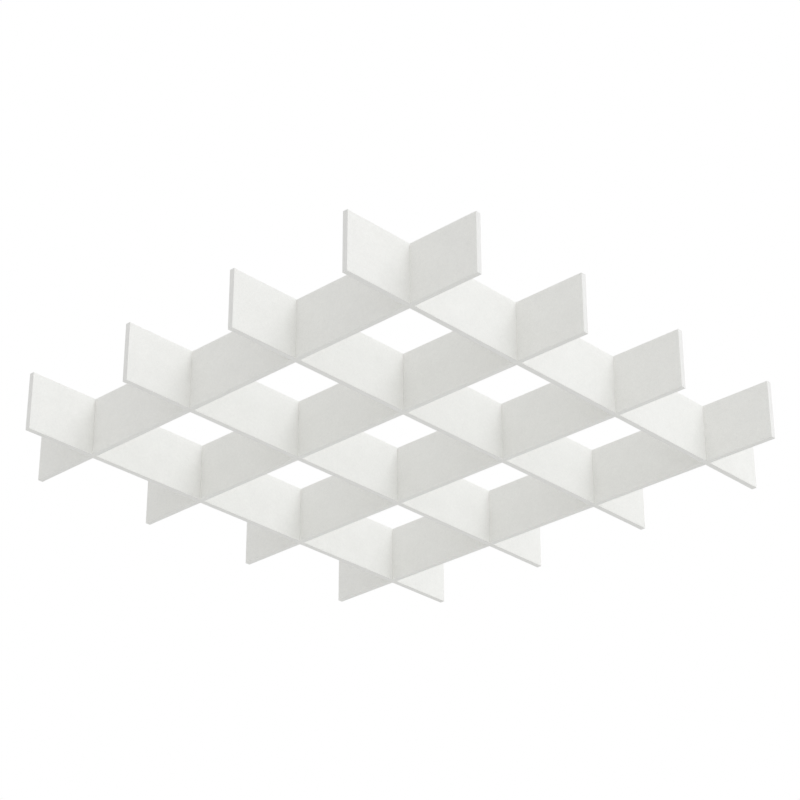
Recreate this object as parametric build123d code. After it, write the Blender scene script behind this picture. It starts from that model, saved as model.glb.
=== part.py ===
from build123d import *
import os

# Felt ceiling baffle: an open lattice of felt boards that lap halfway into each other at every crossing.
# Millimetres, +Z up. The origin is the middle of the lattice in the plane of its top edges, where it is hung.
# The bearer slats run along X and are slotted from above. The cross slats run along Y and are slotted from below.

# Lattice
slats_each_way = 4
crossing_pitch = 290.0
end_overhang = 165.0

# Felt board
slat_height = 125.0
slat_thickness = 12.0
edge_chamfer = 0.8

# Half-lap joints
bearer_slot_depth = 62.5
slot_side_play = 0.1

# Suspension inserts: barbed steel sleeves with an M5 thread, modelled at the thread's tapping size
thread_bore_diameter = 4.2
thread_mouth_chamfer = 0.4
insert_wall = 0.9
flange_lip = 0.6
flange_thickness = 1.0
neck_length = 2.0
barb_height = 0.6
barb_pitch = 3.0
barb_count = 4

# Bores in the felt for the inserts
insert_side_play = 0.1
screw_end_room = 4.0

# Worked out from the sizes above
slat_length = (slats_each_way - 1) * crossing_pitch + 2 * end_overhang
slot_width = slat_thickness + 2 * slot_side_play
lap_plane = -bearer_slot_depth
outer_slat_offset = (slats_each_way - 1) / 2 * crossing_pitch
end_cell_middle = outer_slat_offset - crossing_pitch / 2

bore_radius = thread_bore_diameter / 2
neck_radius = bore_radius + insert_wall
barb_radius = neck_radius + barb_height
flange_radius = barb_radius + flange_lip
insert_length = flange_thickness + neck_length + barb_count * barb_pitch


def row_offsets():
    """Distances of the parallel slats from the middle of the lattice, in order."""
    return [-outer_slat_offset + row * crossing_pitch for row in range(slats_each_way)]


def plain_board():
    """A felt board as cut to size, standing along X with its top edge at the origin's height.

    The edges of both faces are eased by a small chamfer, where the needled skin of the felt turns over.
    """
    board = Pos(0, 0, -slat_height / 2) * Box(slat_length, slat_thickness, slat_height)
    faces = board.faces().sort_by(Axis.Y)
    return chamfer(faces[0].edges() + faces[-1].edges(), edge_chamfer)


def slotted_board(slot_bottom, slot_top):
    """A felt board with a slot between the two heights at each crossing, wide enough for the slat that crosses it."""
    board = plain_board()
    slot = Pos(0, 0, (slot_bottom + slot_top) / 2) * Box(slot_width, slat_thickness, slot_top - slot_bottom)
    for offset in row_offsets():
        board -= Pos(offset, 0, 0) * slot
    return board


def bearer_slat(offset):
    """A slat along X that carries the cross slats in slots open at its top edge."""
    slat = Pos(0, offset, 0) * slotted_board(lap_plane, 0)
    for x, y in insert_seats():
        if y == offset:
            slat -= Pos(x, y, 0) * insert_bore()
    return slat


def cross_slat(offset):
    """A slat along Y that drops over the bearers, with slots open at its bottom edge."""
    return Pos(offset, 0, 0) * Rot(0, 0, 90) * slotted_board(-slat_height, lap_plane)


def insert_seats():
    """Where the inserts stand: at the middle of the end cells, on the two outer bearers."""
    outer_rows = (row_offsets()[0], row_offsets()[-1])
    return [(x, y) for y in outer_rows for x in (-end_cell_middle, end_cell_middle)]


def insert_bore():
    """Space that an insert takes in a top edge: a counterbore for its flange and a bore for its barbs."""
    bore_depth = insert_length + screw_end_room
    counterbore = Pos(0, 0, -flange_thickness / 2) * Cylinder(flange_radius + insert_side_play, flange_thickness)
    bore = Pos(0, 0, -bore_depth / 2) * Cylinder(barb_radius + insert_side_play, bore_depth)
    return counterbore + bore


def insert_profile():
    """Half section of an insert in radius and height: flange, neck, and barbs that hold against a pull upwards."""
    points = [
        (bore_radius + thread_mouth_chamfer, 0),
        (flange_radius, 0),
        (flange_radius, -flange_thickness),
        (neck_radius, -flange_thickness),
    ]
    for barb in range(barb_count):
        ledge = -flange_thickness - neck_length - barb * barb_pitch
        points.append((neck_radius, ledge))
        points.append((barb_radius, ledge))
    points.append((neck_radius, -insert_length))
    points.append((bore_radius, -insert_length))
    points.append((bore_radius, -thread_mouth_chamfer))
    return points


def suspension_insert(x, y):
    """A barbed sleeve with its flange flush with the top edge and its threaded bore open upwards."""
    half_section = Plane.XZ * make_face(Polyline(insert_profile(), close=True))
    return Pos(x, y, 0) * revolve(half_section, Axis.Z)


os.makedirs("parts", exist_ok=True)

for number, offset in enumerate(row_offsets(), start=1):
    export_step(bearer_slat(offset), f"parts/bearer_slat_{number}.step")
    export_step(cross_slat(offset), f"parts/cross_slat_{number}.step")

for number, (x, y) in enumerate(insert_seats(), start=1):
    export_step(suspension_insert(x, y), f"parts/suspension_insert_{number}.step")
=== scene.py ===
"""Looks of a felt lattice ceiling baffle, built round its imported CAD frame.

Eight boards of needle-punched felt lap halfway into each other, and four threaded steel inserts
stand in the top edges of the two outer bearers. Lengths are in metres, in the frame of the CAD.
"""
from __future__ import annotations

import logging
import math
from abc import ABC, abstractmethod
from dataclasses import dataclass, field
from enum import Enum
from typing import Any, Callable, Iterable, Sequence

import bmesh
import bpy
from mathutils import Matrix, Vector, noise

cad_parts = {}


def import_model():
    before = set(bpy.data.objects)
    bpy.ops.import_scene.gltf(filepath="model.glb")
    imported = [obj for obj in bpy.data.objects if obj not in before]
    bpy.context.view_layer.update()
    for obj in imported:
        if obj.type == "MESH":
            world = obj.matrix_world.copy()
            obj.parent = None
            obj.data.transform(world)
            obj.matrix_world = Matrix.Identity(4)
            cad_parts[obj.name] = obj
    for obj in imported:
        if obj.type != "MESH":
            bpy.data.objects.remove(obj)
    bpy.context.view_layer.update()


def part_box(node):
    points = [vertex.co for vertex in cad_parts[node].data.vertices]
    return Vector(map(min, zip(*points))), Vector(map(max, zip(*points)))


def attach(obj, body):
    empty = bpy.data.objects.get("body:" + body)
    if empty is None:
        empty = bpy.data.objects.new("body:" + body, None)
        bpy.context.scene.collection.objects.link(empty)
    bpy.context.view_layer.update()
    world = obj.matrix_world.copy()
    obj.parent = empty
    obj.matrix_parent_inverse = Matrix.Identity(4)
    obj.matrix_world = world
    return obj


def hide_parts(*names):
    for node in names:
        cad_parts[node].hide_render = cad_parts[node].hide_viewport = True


LOG = logging.getLogger("felt_baffle")
MM = 0.001
BODY = "root"

# Differences smaller than this come from rounding.
ROUNDING = 1e-6
# Edges sharper than this stay crisp.
CREASE = math.radians(40)
# Nearly all values of a noise texture lie between these two.
NOISE_LOW = 0.3
NOISE_HIGH = 0.7
# A band texture has one band for each 0.314 of its units at scale 1.
BAND_PERIOD = 0.314
# Refraction of polyester.
POLYESTER_IOR = 1.5


def linear_colour(code: str) -> tuple[float, float, float, float]:
    """Turns an sRGB colour into the linear one that Blender's sockets take.

    Args:
        code: The colour as "#RRGGBB".

    Returns:
        Linear red, green, blue and an alpha of one.
    """
    channels = [int(code[start:start + 2], 16) / 255 for start in (1, 3, 5)]
    linear = [c / 12.92 if c <= 0.04045 else ((c + 0.055) / 1.055) ** 2.4 for c in channels]
    return (linear[0], linear[1], linear[2], 1.0)


def add_node(
    tree: bpy.types.NodeTree,
    kind: str,
    settings: dict[str, Any] | None = None,
    inputs: dict[str | int, Any] | None = None,
) -> bpy.types.Node:
    """Adds a shader node, sets its options and fills its inputs.

    Args:
        tree: The node tree that gets the node.
        kind: Blender's name of the node type, such as "ShaderNodeTexNoise".
        settings: Options of the node itself, by attribute name.
        inputs: What each input gets, by the input's name or place: a value, an output socket,
            or a node whose first output is meant.

    Returns:
        The new node.
    """
    node = tree.nodes.new(kind)
    for option, value in (settings or {}).items():
        setattr(node, option, value)
    for key, value in (inputs or {}).items():
        if isinstance(value, bpy.types.Node):
            tree.links.new(value.outputs[0], node.inputs[key])
        elif isinstance(value, bpy.types.NodeSocket):
            tree.links.new(value, node.inputs[key])
        else:
            node.inputs[key].default_value = value
    return node


class Family(Enum):
    """The two ways that slats run: the node names start with the value."""

    BEARER = "bearer_slat"
    CROSS = "cross_slat"

    @property
    def other(self) -> Family:
        """The family that crosses this one."""
        return Family.CROSS if self is Family.BEARER else Family.BEARER

    @property
    def along(self) -> Vector:
        """Direction of the slat's length."""
        return Vector((1, 0, 0)) if self is Family.BEARER else Vector((0, 1, 0))

    @property
    def across(self) -> Vector:
        """Direction through the slat's thickness."""
        return Vector((0, 1, 0)) if self is Family.BEARER else Vector((-1, 0, 0))

    @property
    def slotted_above(self) -> bool:
        """Whether the slots are open at the top edge."""
        return self is Family.BEARER


@dataclass(frozen=True)
class Shade:
    """A pattern that darkens a colour where its value is low."""

    pattern: bpy.types.Node
    darkest: float
    low: float = NOISE_LOW
    high: float = NOISE_HIGH


class Finish(ABC):
    """A real material and the process that gave it its surface."""

    name: str
    colour: str

    @abstractmethod
    def shader_inputs(self, tree: bpy.types.NodeTree) -> dict[str | int, Any]:
        """Adds the nodes of the pattern.

        Args:
            tree: The node tree of the material.

        Returns:
            What the inputs of the Principled shader get.
        """

    def shaded_colour(self, tree: bpy.types.NodeTree, shades: Iterable[Shade]) -> Any:
        """Darkens the finish's colour by one pattern after another.

        Args:
            tree: The node tree of the material.
            shades: The patterns.

        Returns:
            The node that gives the colour.
        """
        colour: Any = linear_colour(self.colour)[:3]
        for shade in shades:
            factor = add_node(
                tree, "ShaderNodeMapRange",
                inputs={0: shade.pattern, 1: shade.low, 2: shade.high, 3: shade.darkest, 4: 1.0},
            )
            colour = add_node(
                tree, "ShaderNodeVectorMath", settings={"operation": "SCALE"},
                inputs={0: colour, "Scale": factor},
            )
        return colour

    def material(self) -> bpy.types.Material:
        """Builds the material.

        Returns:
            A material with a Principled shader.
        """
        material = bpy.data.materials.new(self.name)
        material.use_nodes = True
        tree = material.node_tree
        tree.nodes.clear()
        shader = add_node(tree, "ShaderNodeBsdfPrincipled", inputs=self.shader_inputs(tree))
        add_node(tree, "ShaderNodeOutputMaterial", inputs={"Surface": shader})
        return material


def board_point(tree: bpy.types.NodeTree, family: Family) -> bpy.types.Node:
    """Gives the shaded point in a board's own directions: along it, through it and up it.

    Args:
        tree: The node tree.
        family: Which way the board runs.

    Returns:
        The node that gives the point.
    """
    place = add_node(tree, "ShaderNodeTexCoord")
    heading = 0.0 if family is Family.BEARER else -math.pi / 2
    return add_node(
        tree, "ShaderNodeMapping", inputs={"Vector": place.outputs["Object"], "Rotation": (0, 0, heading)}
    )


@dataclass(frozen=True)
class NeedledFelt(Finish):
    """Face of a board of white polyester felt, needle-punched and hot-pressed.

    The eye gets a dry, even white with soft shading. From nearby it finds short fibres that lie every
    way, faint clouds where the web is thicker or thinner, and the dimples that the needles left. Shade
    is painted into the gaps between the fibres and into the dimples' bottoms.
    """

    family: Family
    name: str = "polyester_felt_needle_punched"
    colour: str = "#FBFBF8"
    cloud_size: float = 42 * MM
    cloud_contrast: float = 0.018
    mottle_size: float = 6 * MM
    mottle_contrast: float = 0.03
    # Real fibres are 0.03 mm thick. They are drawn as tufts about ten times as thick, so that they
    # show at arm's length.
    fibre_length: float = 4 * MM
    fibre_width: float = 0.32 * MM
    fibre_turns: tuple[float, ...] = (13.0, 68.0, 127.0)
    curl_size: float = 3.5 * MM
    curl_reach: float = 4.5 * MM
    # The gaps between the top fibres have the lower noise value, and their crests the upper one.
    fibre_gap: float = 0.42
    fibre_crest: float = 0.74
    # Painted shade: the colour darkens by this much in the gaps between the fibres.
    fibre_gap_shade: float = 0.10
    fibre_depth: float = 0.10 * MM
    dimple_pitch: float = 2.3 * MM
    # A dimple's bottom and rim, as distances from its middle in pitches.
    dimple_bottom: float = 0.05
    dimple_rim: float = 0.35
    # Painted shade: the colour darkens by this much at a dimple's bottom.
    dimple_shade: float = 0.05
    dimple_depth: float = 0.16 * MM
    roughness: float = 0.95
    sheen: float = 0.12
    sheen_roughness: float = 0.6

    def fibres(self, tree: bpy.types.NodeTree, point: bpy.types.Node) -> bpy.types.Node:
        """Lays sheets of curling fibres over each other.

        Args:
            tree: The node tree of the material.
            point: The shaded point in the board's own directions.

        Returns:
            The node that gives how far a point lies up the top fibre, from nought to one.
        """
        stir = add_node(
            tree, "ShaderNodeTexNoise", inputs={"Vector": point, "Scale": 1 / self.curl_size, "Detail": 1.0}
        )
        curled = add_node(
            tree, "ShaderNodeVectorMath", settings={"operation": "MULTIPLY_ADD"},
            inputs={0: stir.outputs["Color"], 1: (self.curl_reach, 0.0, self.curl_reach), 2: point},
        )
        stretch = (1 / self.fibre_length, 1 / self.fibre_length, 1 / self.fibre_width)
        top = None
        for turn in self.fibre_turns:
            turned = add_node(
                tree, "ShaderNodeMapping", inputs={"Vector": curled, "Rotation": (0, math.radians(turn), 0)}
            )
            drawn_out = add_node(tree, "ShaderNodeMapping", inputs={"Vector": turned, "Scale": stretch})
            sheet = add_node(
                tree, "ShaderNodeTexNoise", inputs={"Vector": drawn_out, "Scale": 1.0, "Detail": 1.0}
            )
            top = sheet if top is None else add_node(
                tree, "ShaderNodeMath", settings={"operation": "MAXIMUM"}, inputs={0: top, 1: sheet}
            )
        return add_node(
            tree, "ShaderNodeMapRange",
            inputs={0: top, 1: self.fibre_gap, 2: self.fibre_crest, 3: 0.0, 4: 1.0},
        )

    def dimples(self, tree: bpy.types.NodeTree, point: bpy.types.Node) -> bpy.types.Node:
        """Spreads the dimples that the needles left.

        Args:
            tree: The node tree of the material.
            point: The shaded point in the board's own directions.

        Returns:
            The node that gives nought at a dimple's bottom and one from its rim outwards.
        """
        cells = add_node(
            tree, "ShaderNodeTexVoronoi", inputs={"Vector": point, "Scale": 1 / self.dimple_pitch}
        )
        return add_node(
            tree, "ShaderNodeMapRange",
            inputs={0: cells, 1: self.dimple_bottom, 2: self.dimple_rim, 3: 0.0, 4: 1.0},
        )

    def shader_inputs(self, tree: bpy.types.NodeTree) -> dict[str | int, Any]:
        """Mixes clouds and mottle into the white, paints shade into the dimples and between the fibres, and
        raises the fibres.

        Args:
            tree: The node tree of the material.

        Returns:
            What the inputs of the Principled shader get.
        """
        point = board_point(tree, self.family)
        cloud = add_node(
            tree, "ShaderNodeTexNoise", inputs={"Vector": point, "Scale": 1 / self.cloud_size, "Detail": 1.5}
        )
        mottle = add_node(
            tree, "ShaderNodeTexNoise", inputs={"Vector": point, "Scale": 1 / self.mottle_size, "Detail": 3.0}
        )
        dimples = self.dimples(tree, point)
        fibres = self.fibres(tree, point)
        pitted = add_node(
            tree, "ShaderNodeBump", inputs={"Height": dimples, "Distance": self.dimple_depth, "Strength": 1.0}
        )
        normal = add_node(
            tree, "ShaderNodeBump",
            inputs={"Height": fibres, "Distance": self.fibre_depth, "Strength": 1.0, "Normal": pitted},
        )
        return {
            "Base Color": self.shaded_colour(tree, (
                Shade(cloud, 1 - self.cloud_contrast),
                Shade(mottle, 1 - self.mottle_contrast),
                # Painted shade: darker at the dimples' bottoms and in the gaps between the fibres.
                Shade(dimples, 1 - self.dimple_shade, 0.0, 1.0),
                Shade(fibres, 1 - self.fibre_gap_shade, 0.0, 1.0),
            )),
            "Roughness": self.roughness,
            "IOR": POLYESTER_IOR,
            "Sheen Weight": self.sheen,
            "Sheen Roughness": self.sheen_roughness,
            "Normal": normal,
        }


@dataclass(frozen=True)
class KnifeCutFelt(Finish):
    """Knife-cut edge of the felt board.

    The eye gets the layers of the pressed web as fine streaks that run along the cut, a little duller
    than the pressed face, with a short nap of cut fibre ends.
    """

    family: Family
    name: str = "polyester_felt_knife_cut"
    colour: str = "#F7F7F5"
    # Layers of the web are about 0.4 mm thick. They are drawn twice as thick, so that they show at
    # arm's length.
    layer_thickness: float = 0.8 * MM
    streak_length: float = 22 * MM
    streak_contrast: float = 0.10
    nap_size: float = 0.7 * MM
    nap_contrast: float = 0.08
    nap_depth: float = 0.16 * MM
    roughness: float = 0.97
    sheen: float = 0.15
    sheen_roughness: float = 0.6

    def shader_inputs(self, tree: bpy.types.NodeTree) -> dict[str | int, Any]:
        """Streaks the white with the web's layers and roughens it with the nap.

        Args:
            tree: The node tree of the material.

        Returns:
            What the inputs of the Principled shader get.
        """
        point = board_point(tree, self.family)
        along, through = 1 / self.streak_length, 1 / self.layer_thickness
        drawn_out = add_node(
            tree, "ShaderNodeMapping", inputs={"Vector": point, "Scale": (along, through, along)}
        )
        layers = add_node(
            tree, "ShaderNodeTexNoise", inputs={"Vector": drawn_out, "Scale": 1.0, "Detail": 2.0}
        )
        nap = add_node(
            tree, "ShaderNodeTexNoise",
            inputs={"Vector": point, "Scale": 1 / self.nap_size, "Detail": 3.0, "Distortion": 0.8},
        )
        ribbed = add_node(
            tree, "ShaderNodeBump", inputs={"Height": layers, "Distance": self.nap_depth, "Strength": 1.0}
        )
        normal = add_node(
            tree, "ShaderNodeBump",
            inputs={"Height": nap, "Distance": self.nap_depth, "Strength": 1.0, "Normal": ribbed},
        )
        return {
            "Base Color": self.shaded_colour(
                tree, (Shade(layers, 1 - self.streak_contrast), Shade(nap, 1 - self.nap_contrast))
            ),
            "Roughness": self.roughness,
            "IOR": POLYESTER_IOR,
            "Sheen Weight": self.sheen,
            "Sheen Roughness": self.sheen_roughness,
            "Normal": normal,
        }


@dataclass(frozen=True)
class ZincPlatedSteel(Finish):
    """Turned steel with a thin clear zinc plating.

    The eye gets a cool grey gleam, broken by fine turning rings and dulled in soft patches.
    """

    name: str = "steel_turned_zinc_plated"
    colour: str = "#C4C7CB"
    ring_pitch: float = 0.25 * MM
    ring_depth: float = 0.006 * MM
    patch_size: float = 2.5 * MM
    patch_contrast: float = 0.12
    smoothest: float = 0.28
    roughest: float = 0.42

    def shader_inputs(self, tree: bpy.types.NodeTree) -> dict[str | int, Any]:
        """Dulls the plating in patches and rings it with tool marks.

        Args:
            tree: The node tree of the material.

        Returns:
            What the inputs of the Principled shader get.
        """
        place = add_node(tree, "ShaderNodeTexCoord").outputs["Object"]
        rings = add_node(
            tree, "ShaderNodeTexWave", settings={"bands_direction": "Z"},
            inputs={"Vector": place, "Scale": BAND_PERIOD / self.ring_pitch, "Distortion": 0.4},
        )
        patches = add_node(
            tree, "ShaderNodeTexNoise", inputs={"Vector": place, "Scale": 1 / self.patch_size}
        )
        return {
            "Base Color": self.shaded_colour(tree, [Shade(patches, 1 - self.patch_contrast)]),
            "Metallic": 1.0,
            "Roughness": add_node(
                tree, "ShaderNodeMapRange",
                inputs={0: patches, 1: NOISE_LOW, 2: NOISE_HIGH, 3: self.smoothest, 4: self.roughest},
            ),
            "Normal": add_node(
                tree, "ShaderNodeBump",
                inputs={"Height": rings.outputs["Fac"], "Distance": self.ring_depth, "Strength": 1.0},
            ),
        }


@dataclass(frozen=True)
class RolledFloorPaint(Finish):
    """Matt white floor paint, rolled on.

    The eye gets a pale ground with painted shade, slightly greyer under the lattice, and white far out,
    where it meets the surround.
    """

    name: str = "floor_paint_matt_rolled"
    colour: str = "#F4F4F2"
    patch_size: float = 0.6
    patch_contrast: float = 0.015
    grey_reach: float = 6.0
    white_from: float = 20.0
    painted_shade_factor: float = 0.95
    lift_near: float = 0.06
    lift_far: float = 0.24
    roughness: float = 0.8

    def shader_inputs(self, tree: bpy.types.NodeTree) -> dict[str | int, Any]:
        """Fades the floor from painted shade, pale grey under the lattice, to white.

        The lift is only what the camera sees, and shadows stay.

        Args:
            tree: The node tree of the material.

        Returns:
            What the inputs of the Principled shader get.
        """
        place = add_node(tree, "ShaderNodeTexCoord").outputs["Object"]
        patches = add_node(
            tree, "ShaderNodeTexNoise", inputs={"Vector": place, "Scale": 1 / self.patch_size}
        )
        flat = add_node(tree, "ShaderNodeMapping", inputs={"Vector": place, "Scale": (1, 1, 0)})
        reach = add_node(tree, "ShaderNodeVectorMath", settings={"operation": "LENGTH"}, inputs={0: flat})
        fade = add_node(
            tree, "ShaderNodeMapRange", settings={"interpolation_type": "SMOOTHSTEP"},
            inputs={0: reach.outputs["Value"], 1: self.grey_reach, 2: self.white_from, 3: 0.0, 4: 1.0},
        )
        path = add_node(tree, "ShaderNodeLightPath")
        lift = add_node(
            tree, "ShaderNodeMapRange", inputs={0: fade, 1: 0.0, 2: 1.0, 3: self.lift_near, 4: self.lift_far}
        )
        return {
            "Base Color": self.shaded_colour(
                # Painted shade: the colour is greyer near the middle, under the lattice.
                tree, (Shade(fade, self.painted_shade_factor, 0.0, 1.0), Shade(patches, 1 - self.patch_contrast))
            ),
            "Roughness": self.roughness,
            "Emission Color": (1.0, 1.0, 1.0, 1.0),
            "Emission Strength": add_node(
                tree, "ShaderNodeMath", settings={"operation": "MULTIPLY"},
                inputs={0: path.outputs["Is Camera Ray"], 1: lift},
            ),
        }


def even_stations(stops: Iterable[float], cell: float) -> list[float]:
    """Divides each stretch between stops into equal cells.

    Args:
        stops: Places that have to be stations, in any order.
        cell: Longest cell allowed.

    Returns:
        All stations in rising order.
    """
    places = sorted(stops)
    stations = [places[0]]
    for start, end in zip(places, places[1:]):
        count = max(1, math.ceil((end - start) / cell - ROUNDING))
        stations += [start + (end - start) * step / count for step in range(1, count + 1)]
    return stations


def skin_rings(rings: Sequence[Sequence[Vector]], closed: bool) -> bmesh.types.BMesh:
    """Skins rings of points, which all have the same number of them, into a closed mesh.

    Args:
        rings: The rings in order.
        closed: Whether the last ring joins the first. Otherwise both end rings are capped.

    Returns:
        The mesh, with its normals outwards.
    """
    bm = bmesh.new()
    loops = [[bm.verts.new(point) for point in ring] for ring in rings]
    following = loops[1:] + loops[:1] if closed else loops[1:]
    for upper, lower in zip(loops, following):
        for step in range(len(upper)):
            after = (step + 1) % len(upper)
            bm.faces.new((upper[step], lower[step], lower[after], upper[after]))
    if not closed:
        bm.faces.new(loops[0])
        bm.faces.new(loops[-1])
    bmesh.ops.recalc_face_normals(bm, faces=bm.faces)
    return bm


def object_from(
    bm: bmesh.types.BMesh, name: str, materials: Sequence[bpy.types.Material]
) -> bpy.types.Object:
    """Makes a smooth-shaded object with crisp edges from a bmesh, and frees the bmesh.

    Args:
        bm: The shape.
        name: The object's name.
        materials: Materials in the order of the faces' material numbers.

    Returns:
        The new object, linked to the scene.
    """
    mesh = bpy.data.meshes.new(name)
    bm.to_mesh(mesh)
    bm.free()
    for material in materials:
        mesh.materials.append(material)
    piece = bpy.data.objects.new(name, mesh)
    bpy.context.scene.collection.objects.link(piece)
    shade_softly(piece)
    return piece


def shade_softly(piece: bpy.types.Object) -> None:
    """Shades a piece smooth, apart from its sharp edges."""
    piece.data.shade_smooth()
    piece.data.set_sharp_from_angle(angle=CREASE)


def hand_over(piece: bpy.types.Object, node: str) -> None:
    """Puts a finished piece in the place of its CAD node.

    Args:
        piece: The piece.
        node: The CAD node that it replaces.
    """
    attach(piece, BODY)
    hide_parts(node)


@dataclass
class SuspensionInsert:
    """Barbed steel sleeve with an M5 thread, pressed into a top edge."""

    node: str
    thread_radius: float = 2.5 * MM
    bore_radius: float = 2.1 * MM
    thread_pitch: float = 0.8 * MM
    # Over one turn the wall goes out and back as a triangle, cut off flat at both ends of its travel.
    thread_steepness: float = 1.5
    thread_flat: float = 0.15
    mouth_chamfer: float = 0.4 * MM
    neck_radius: float = 3.0 * MM
    barb_radius: float = 3.6 * MM
    barb_land: float = 0.15 * MM
    barb_pitch: float = 3.0 * MM
    barb_count: int = 4
    flange_thickness: float = 1.0 * MM
    flange_ease: float = 0.12 * MM
    neck_length: float = 2.0 * MM
    side_play: float = 0.1 * MM
    screw_room: float = 4.0 * MM
    # How far the cutter of the seat stands above the top edge.
    cutter_rise: float = 2.0 * MM
    segments: int = 48
    steps_per_turn: int = 8

    def __post_init__(self) -> None:
        """Reads the place and the reach of the sleeve from its CAD node."""
        low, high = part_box(self.node)
        self.middle = Vector(((low.x + high.x) / 2, (low.y + high.y) / 2, high.z))
        self.flange_radius = (high.x - low.x) / 2
        self.length = high.z - low.z

    def ring(self, radius_at: Callable[[float, float], float], depth: float) -> list[Vector]:
        """Sets out a ring of points round the sleeve's axis.

        Args:
            radius_at: Gives the radius at an angle and a depth.
            depth: Depth under the top edge.

        Returns:
            The points in order.
        """
        points = []
        for step in range(self.segments):
            angle = math.tau * step / self.segments
            radius = radius_at(angle, depth)
            points.append(self.middle + Vector((radius * math.cos(angle), radius * math.sin(angle), -depth)))
        return points

    def round_ring(self, radius: float, depth: float) -> list[Vector]:
        """Sets out a ring with the same radius all round."""
        return self.ring(lambda _angle, _depth: radius, depth)

    def outer_rows(self) -> list[tuple[float, float]]:
        """Lists the rows of the outside, from the flange's rim down to the foot.

        Returns:
            Radius and depth of each row.
        """
        rows = [
            (self.flange_radius - self.flange_ease, 0.0),
            (self.flange_radius, self.flange_ease),
            (self.flange_radius, self.flange_thickness),
            (self.neck_radius, self.flange_thickness),
        ]
        for barb in range(self.barb_count):
            ledge = self.flange_thickness + self.neck_length + barb * self.barb_pitch
            rows += [
                (self.neck_radius, ledge),
                (self.barb_radius, ledge),
                (self.barb_radius, ledge + self.barb_land),
            ]
        rows.append((self.neck_radius, self.length))
        return rows

    def thread_radius_at(self, angle: float, depth: float) -> float:
        """Finds the threaded wall, which runs out at the mouth and the foot.

        Args:
            angle: Angle round the axis.
            depth: Depth under the top edge.

        Returns:
            The wall's radius there.
        """
        turn = (depth / self.thread_pitch + angle / math.tau) % 1.0
        groove = self.thread_steepness * (1 - abs(2 * turn - 1)) - self.thread_flat
        groove = min(1.0, max(0.0, groove))
        run_out = min(1.0, depth / self.thread_pitch, (self.length - depth) / self.thread_pitch)
        return self.bore_radius + (self.thread_radius - self.bore_radius) * groove * max(0.0, run_out)

    def rings(self) -> list[list[Vector]]:
        """Sets out the rings round the closed section, down the outside and up the thread.

        Returns:
            All rings in order.
        """
        rings = [self.round_ring(radius, depth) for radius, depth in self.outer_rows()]
        threaded = self.length - self.mouth_chamfer
        rows = math.ceil(threaded / self.thread_pitch * self.steps_per_turn)
        for row in range(rows + 1):
            depth = self.length - threaded * row / rows
            rings.append(self.ring(self.thread_radius_at, depth))
        rings.append(self.round_ring(self.bore_radius + self.mouth_chamfer, 0.0))
        return rings

    def build(self, steel: bpy.types.Material) -> bpy.types.Object:
        """Builds the sleeve as one closed mesh in place of its CAD node.

        Args:
            steel: The plated steel.

        Returns:
            The sleeve.
        """
        piece = object_from(skin_rings(self.rings(), closed=True), f"sleeve_{self.node}", [steel])
        hand_over(piece, self.node)
        return piece

    def seat_cutter(self) -> bpy.types.Object:
        """Makes the round stepped shape that the sleeve's seat takes out of the felt.

        Returns:
            The cutter, which the caller deletes.
        """
        flange_seat = self.flange_radius + self.side_play
        barb_seat = self.barb_radius + self.side_play
        rows = (
            (flange_seat, -self.cutter_rise),
            (flange_seat, self.flange_thickness),
            (barb_seat, self.flange_thickness),
            (barb_seat, self.length + self.screw_room),
        )
        rings = [self.round_ring(radius, depth) for radius, depth in rows]
        return object_from(skin_rings(rings, closed=False), f"cutter_{self.node}", [])


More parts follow.
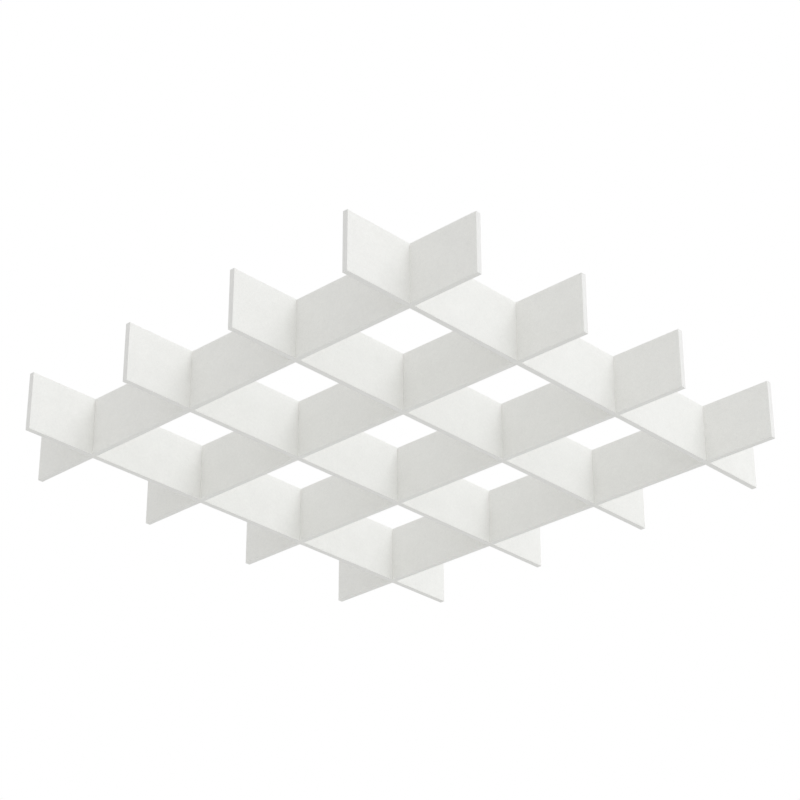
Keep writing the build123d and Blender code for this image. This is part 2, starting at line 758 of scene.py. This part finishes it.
@dataclass
class Slat:
    """One felt board of the lattice, with its half-lap slots."""

    family: Family
    number: int
    slats_each_way: int
    slot_play: float = 0.03 * MM
    edge_ease: float = 0.5 * MM
    ease_steps: int = 3
    cell: float = 5.0 * MM
    layers: int = 4
    # Pressing leaves the surface uneven. It only ever sinks in, by no more than the two depths together.
    sink_depth: float = 0.14 * MM
    sink_size: float = 30 * MM
    ruffle_depth: float = 0.08 * MM
    ruffle_size: float = 5 * MM
    # Out from the face of a crossing board the surface is held over the first of these two reaches,
    # and grows free over the second.
    held_reach: float = 2 * MM
    freed_reach: float = 15 * MM
    # Places in the noise, far enough apart for no two slats to sink alike.
    noise_step: float = 7.3
    bearer_noise: float = 11.1
    cross_noise: float = 31.7
    inserts: list[SuspensionInsert] = field(default_factory=list)

    def __post_init__(self) -> None:
        """Reads the board's reach and its crossings from the CAD nodes."""
        low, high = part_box(self.node)
        self.middle = (low + high) / 2
        size = high - low
        self.length = abs(size.dot(self.family.along))
        self.thickness = abs(size.dot(self.family.across))
        self.height = size.z
        self.crossings: list[tuple[float, float]] = []
        for number in range(1, self.slats_each_way + 1):
            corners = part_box(f"{self.family.other.value}_{number}")
            ends = [(corner - self.middle).dot(self.family.along) for corner in corners]
            self.crossings.append((min(ends) - self.slot_play, max(ends) + self.slot_play))

    @property
    def node(self) -> str:
        """Name of the CAD node that the slat stands for."""
        return f"{self.family.value}_{self.number}"

    @property
    def noise_shift(self) -> Vector:
        """Place of the slat in the noise, which differs for every slat."""
        row = self.bearer_noise if self.family is Family.BEARER else self.cross_noise
        return Vector((self.number * self.noise_step, row, 0.0))

    def is_open(self, along: float, up: float) -> bool:
        """Whether a point of the side view lies in a slot."""
        in_slot_height = up > 0 if self.family.slotted_above else up < 0
        return in_slot_height and any(start < along < end for start, end in self.crossings)

    def place(self, along: float, across: float, up: float) -> Vector:
        """Turns a place on the board, measured from its middle, into one in the frame."""
        return self.middle + self.family.along * along + self.family.across * across + Vector((0, 0, up))

    def board_mesh(self) -> bmesh.types.BMesh:
        """Builds the slotted board as a closed grid of quads.

        Returns:
            The board. Its two faces have material number 0 and its cut edges 1.
        """
        half = Vector((self.length / 2, self.thickness / 2, self.height / 2))
        slot_sides = [side for crossing in self.crossings for side in crossing]
        columns = even_stations([-half.x, half.x, *slot_sides], self.cell)
        levels = even_stations([-half.z, 0.0, half.z], self.cell)
        depths = even_stations([-half.y, half.y], self.thickness / self.layers)
        bm = bmesh.new()
        corners: dict[tuple[int, int, int], bmesh.types.BMVert] = {}

        def corner(column: int, level: int, layer: int) -> bmesh.types.BMVert:
            """Gives a corner of the grid, and makes it when it is first asked for.

            Args:
                column: Number of its station along the board.
                level: Number of its station up the board.
                layer: Number of its station through the board.

            Returns:
                The corner.
            """
            key = (column, level, layer)
            if key not in corners:
                corners[key] = bm.verts.new(self.place(columns[column], depths[layer], levels[level]))
            return corners[key]

        def filled(column: int, level: int) -> bool:
            """Tells whether a cell of the side view holds felt.

            Args:
                column: Number of the cell along the board.
                level: Number of the cell up the board.

            Returns:
                False in a slot and outside the board.
            """
            if not (0 <= column < len(columns) - 1 and 0 <= level < len(levels) - 1):
                return False
            along = (columns[column] + columns[column + 1]) / 2
            up = (levels[level] + levels[level + 1]) / 2
            return not self.is_open(along, up)

        for column in range(len(columns) - 1):
            for level in range(len(levels) - 1):
                if not filled(column, level):
                    continue
                ring = [(column, level), (column + 1, level), (column + 1, level + 1), (column, level + 1)]
                bm.faces.new([corner(*spot, 0) for spot in ring])
                bm.faces.new([corner(*spot, self.layers) for spot in reversed(ring)])
                beyond = [(column, level - 1), (column + 1, level), (column, level + 1), (column - 1, level)]
                for side, neighbour in enumerate(beyond):
                    if filled(*neighbour):
                        continue
                    first, second = ring[side], ring[(side + 1) % len(ring)]
                    for layer in range(self.layers):
                        face = bm.faces.new((
                            corner(*second, layer), corner(*first, layer),
                            corner(*first, layer + 1), corner(*second, layer + 1),
                        ))
                        face.material_index = 1
        return bm

    def ease_rims(self, bm: bmesh.types.BMesh) -> None:
        """Rounds the edges between the faces and the outer cut edges, but not those of the slots.

        Args:
            bm: The board.
        """
        bm.normal_update()
        rims = [
            edge for edge in bm.edges
            if {face.material_index for face in edge.link_faces} == {0, 1} and self.outer_side(edge)
        ]
        bmesh.ops.bevel(
            bm, geom=rims, offset=self.edge_ease, segments=self.ease_steps,
            profile=0.5, affect="EDGES", clamp_overlap=False, material=0,
        )

    def outer_side(self, edge: bmesh.types.BMEdge) -> bool:
        """Tells whether an edge borders the board's outline and not a slot.

        Args:
            edge: An edge between a face of the board and a cut edge.

        Returns:
            True at the board's ends, top and bottom.
        """
        cut = next(face for face in edge.link_faces if face.material_index == 1)
        middle = cut.calc_center_median() - self.middle
        at_end = abs(middle.dot(self.family.along)) > self.length / 2 - ROUNDING
        at_top_or_bottom = abs(middle.z) > self.height / 2 - ROUNDING
        return at_end or at_top_or_bottom

    def sink_surface(self, bm: bmesh.types.BMesh) -> None:
        """Lets the surface sink a little and unevenly, as pressed felt does.

        Args:
            bm: The board.
        """
        bm.normal_update()
        shift = self.noise_shift
        for vert in bm.verts:
            broad = 0.5 + 0.5 * noise.noise(vert.co / self.sink_size + shift)
            fine = 0.5 + 0.5 * noise.noise(vert.co / self.ruffle_size + shift)
            sunk = self.sink_depth * broad + self.ruffle_depth * fine
            vert.co -= vert.normal * sunk * self.freedom(vert.co)

    def freedom(self, point: Vector) -> float:
        """Tells how freely the surface may sink at a point.

        Args:
            point: A point of the surface.

        Returns:
            Nought where a crossing board holds the surface, and one where it is free.
        """
        along = (point - self.middle).dot(self.family.along)
        nearest = min(abs(along - (start + end) / 2) for start, end in self.crossings)
        clear = nearest - self.thickness / 2 - self.held_reach
        return min(1.0, max(0.0, clear / self.freed_reach))

    def cut_seats(self, piece: bpy.types.Object) -> None:
        """Takes the seats of the inserts out of the top edge.

        Args:
            piece: The slat, which gets the cut mesh.
        """
        cutters = [insert.seat_cutter() for insert in self.inserts]
        for cutter in cutters:
            modifier = piece.modifiers.new("insert_seat", "BOOLEAN")
            modifier.operation = "DIFFERENCE"
            modifier.solver = "MANIFOLD"
            modifier.object = cutter
        bpy.context.view_layer.update()
        graph = bpy.context.evaluated_depsgraph_get()
        mesh = bpy.data.meshes.new_from_object(piece.evaluated_get(graph))
        piece.modifiers.clear()
        piece.data = mesh
        for cutter in cutters:
            bpy.data.objects.remove(cutter)
        shade_softly(piece)

    def build(self, face_felt: bpy.types.Material, edge_felt: bpy.types.Material) -> bpy.types.Object:
        """Builds the slat in place of its CAD node.

        Args:
            face_felt: Material of the two faces.
            edge_felt: Material of the cut edges and the slots.

        Returns:
            The slat.
        """
        bm = self.board_mesh()
        self.ease_rims(bm)
        self.sink_surface(bm)
        piece = object_from(bm, f"felt_{self.node}", [face_felt, edge_felt])
        if self.inserts:
            self.cut_seats(piece)
        hand_over(piece, self.node)
        return piece


@dataclass
class Lattice:
    """The whole baffle: both families of slats and their suspension inserts."""

    slats_each_way: int = 4
    insert_count: int = 4

    def build(self) -> None:
        """Builds and dresses every piece."""
        steel = ZincPlatedSteel().material()
        inserts = [SuspensionInsert(f"suspension_insert_{n}") for n in range(1, self.insert_count + 1)]
        for insert in inserts:
            report(insert.build(steel))
        for family in Family:
            face_felt = NeedledFelt(family).material()
            edge_felt = KnifeCutFelt(family).material()
            for number in range(1, self.slats_each_way + 1):
                slat = Slat(family, number, self.slats_each_way)
                if family is Family.BEARER:
                    slat.inserts = [i for i in inserts if abs(i.middle.y - slat.middle.y) < slat.thickness]
                report(slat.build(face_felt, edge_felt))


def report(piece: bpy.types.Object) -> None:
    """Logs a finished piece with its count of faces."""
    LOG.info("%s: %d faces", piece.name, len(piece.data.polygons))


@dataclass(frozen=True)
class Studio:
    """Plain soft daylight studio.

    It has a white surround, a little brighter on one side, a broad key and a floor far below.
    """

    ambient: float = 0.797
    ambient_tilt: float = 0.16
    bright_side: tuple[float, float, float] = (0.1, -1.0, 0.0)
    key_power: float = 195.0
    key_size: float = 4.5
    key_colour: str = "#F9FBFF"
    key_place: tuple[float, float, float] = (1.6, -3.9, 5.6)
    floor_drop: float = 6.0
    floor_radius: float = 40.0
    floor_sides: int = 96

    def surround_strength(self, tree: bpy.types.NodeTree) -> bpy.types.Node:
        """Makes the surround's light grow evenly from its dim side to its bright one.

        Args:
            tree: The node tree of the world.

        Returns:
            The node that gives the strength.
        """
        towards = add_node(tree, "ShaderNodeTexCoord").outputs["Generated"]
        side = add_node(
            tree, "ShaderNodeVectorMath", settings={"operation": "DOT_PRODUCT"},
            inputs={0: towards, 1: Vector(self.bright_side).normalized()},
        )
        dimmest = self.ambient * (1 - self.ambient_tilt)
        brightest = self.ambient * (1 + self.ambient_tilt)
        return add_node(
            tree, "ShaderNodeMapRange",
            inputs={0: side.outputs["Value"], 1: -1.0, 2: 1.0, 3: dimmest, 4: brightest},
        )

    def light_world(self) -> None:
        """Lights the object from all round, while the camera and polished metal see plain white."""
        world = bpy.data.worlds.new("soft_white_surround")
        bpy.context.scene.world = world
        world.use_nodes = True
        tree = world.node_tree
        tree.nodes.clear()
        path = add_node(tree, "ShaderNodeLightPath")
        seen = path.outputs["Is Camera Ray"]
        for kind in ("Is Glossy Ray", "Is Transmission Ray"):
            seen = add_node(
                tree, "ShaderNodeMath", settings={"operation": "MAXIMUM"},
                inputs={0: seen, 1: path.outputs[kind]},
            )
        strength = self.surround_strength(tree)
        lit = add_node(tree, "ShaderNodeBackground", inputs={"Color": (1, 1, 1, 1), "Strength": strength})
        white = add_node(tree, "ShaderNodeBackground", inputs={"Color": (1, 1, 1, 1), "Strength": 1.0})
        mix = add_node(tree, "ShaderNodeMixShader", inputs={0: seen, 1: lit, 2: white})
        add_node(tree, "ShaderNodeOutputWorld", inputs={"Surface": mix})

    def hang_key(self) -> None:
        """Hangs the broad soft key and turns it towards the lattice."""
        lamp = bpy.data.lights.new("soft_key", "AREA")
        lamp.shape = "SQUARE"
        lamp.size = self.key_size
        lamp.energy = self.key_power
        lamp.color = linear_colour(self.key_colour)[:3]
        key = bpy.data.objects.new("soft_key", lamp)
        bpy.context.scene.collection.objects.link(key)
        key.location = self.key_place
        key.rotation_euler = (-Vector(self.key_place)).to_track_quat("-Z", "Y").to_euler()
        key.visible_camera = False

    def lay_floor(self) -> None:
        """Lays the round floor far below the lattice."""
        bm = bmesh.new()
        bmesh.ops.create_circle(bm, cap_ends=True, segments=self.floor_sides, radius=self.floor_radius)
        bmesh.ops.translate(bm, verts=bm.verts, vec=(0, 0, -self.floor_drop))
        floor = object_from(bm, "studio_floor", [RolledFloorPaint().material()])

    def build(self) -> None:
        """Sets the studio up."""
        self.light_world()
        self.hang_key()
        self.lay_floor()


@dataclass(frozen=True)
class PhotoCamera:
    """Camera at the photograph's viewing angle: below one corner of the lattice, looking up."""

    place: tuple[float, float, float] = (-3.0517, -2.8811, -2.1946)
    heading: float = 43.358
    climb: float = 27.715
    roll: float = -0.102
    lens_mm: float = 105.0
    sensor_mm: float = 36.0
    nearest_seen: float = 0.05
    farthest_seen: float = 200.0

    def build(self) -> None:
        """Sets the camera up and makes it the scene's own."""
        heading, climb, roll = (math.radians(angle) for angle in (self.heading, self.climb, self.roll))
        forward = Vector((
            math.cos(heading) * math.cos(climb), math.sin(heading) * math.cos(climb), math.sin(climb),
        ))
        level_right = Vector((math.sin(heading), -math.cos(heading), 0.0))
        level_up = level_right.cross(forward)
        right = level_right * math.cos(roll) + level_up * math.sin(roll)
        up = level_up * math.cos(roll) - level_right * math.sin(roll)
        data = bpy.data.cameras.new("photo_camera")
        data.lens = self.lens_mm
        data.sensor_width = self.sensor_mm
        data.clip_start = self.nearest_seen
        data.clip_end = self.farthest_seen
        camera = bpy.data.objects.new("photo_camera", data)
        bpy.context.scene.collection.objects.link(camera)
        turned = Matrix((right, up, -forward)).transposed().to_4x4()
        camera.matrix_world = Matrix.Translation(self.place) @ turned
        bpy.context.scene.camera = camera


def main() -> None:
    """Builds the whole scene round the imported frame."""
    logging.basicConfig(level=logging.INFO, format="%(message)s")
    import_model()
    bpy.context.scene.view_settings.view_transform = "Standard"
    PhotoCamera().build()
    Studio().build()
    Lattice().build()
    bpy.context.view_layer.update()


if __name__ == "__main__":
    main()
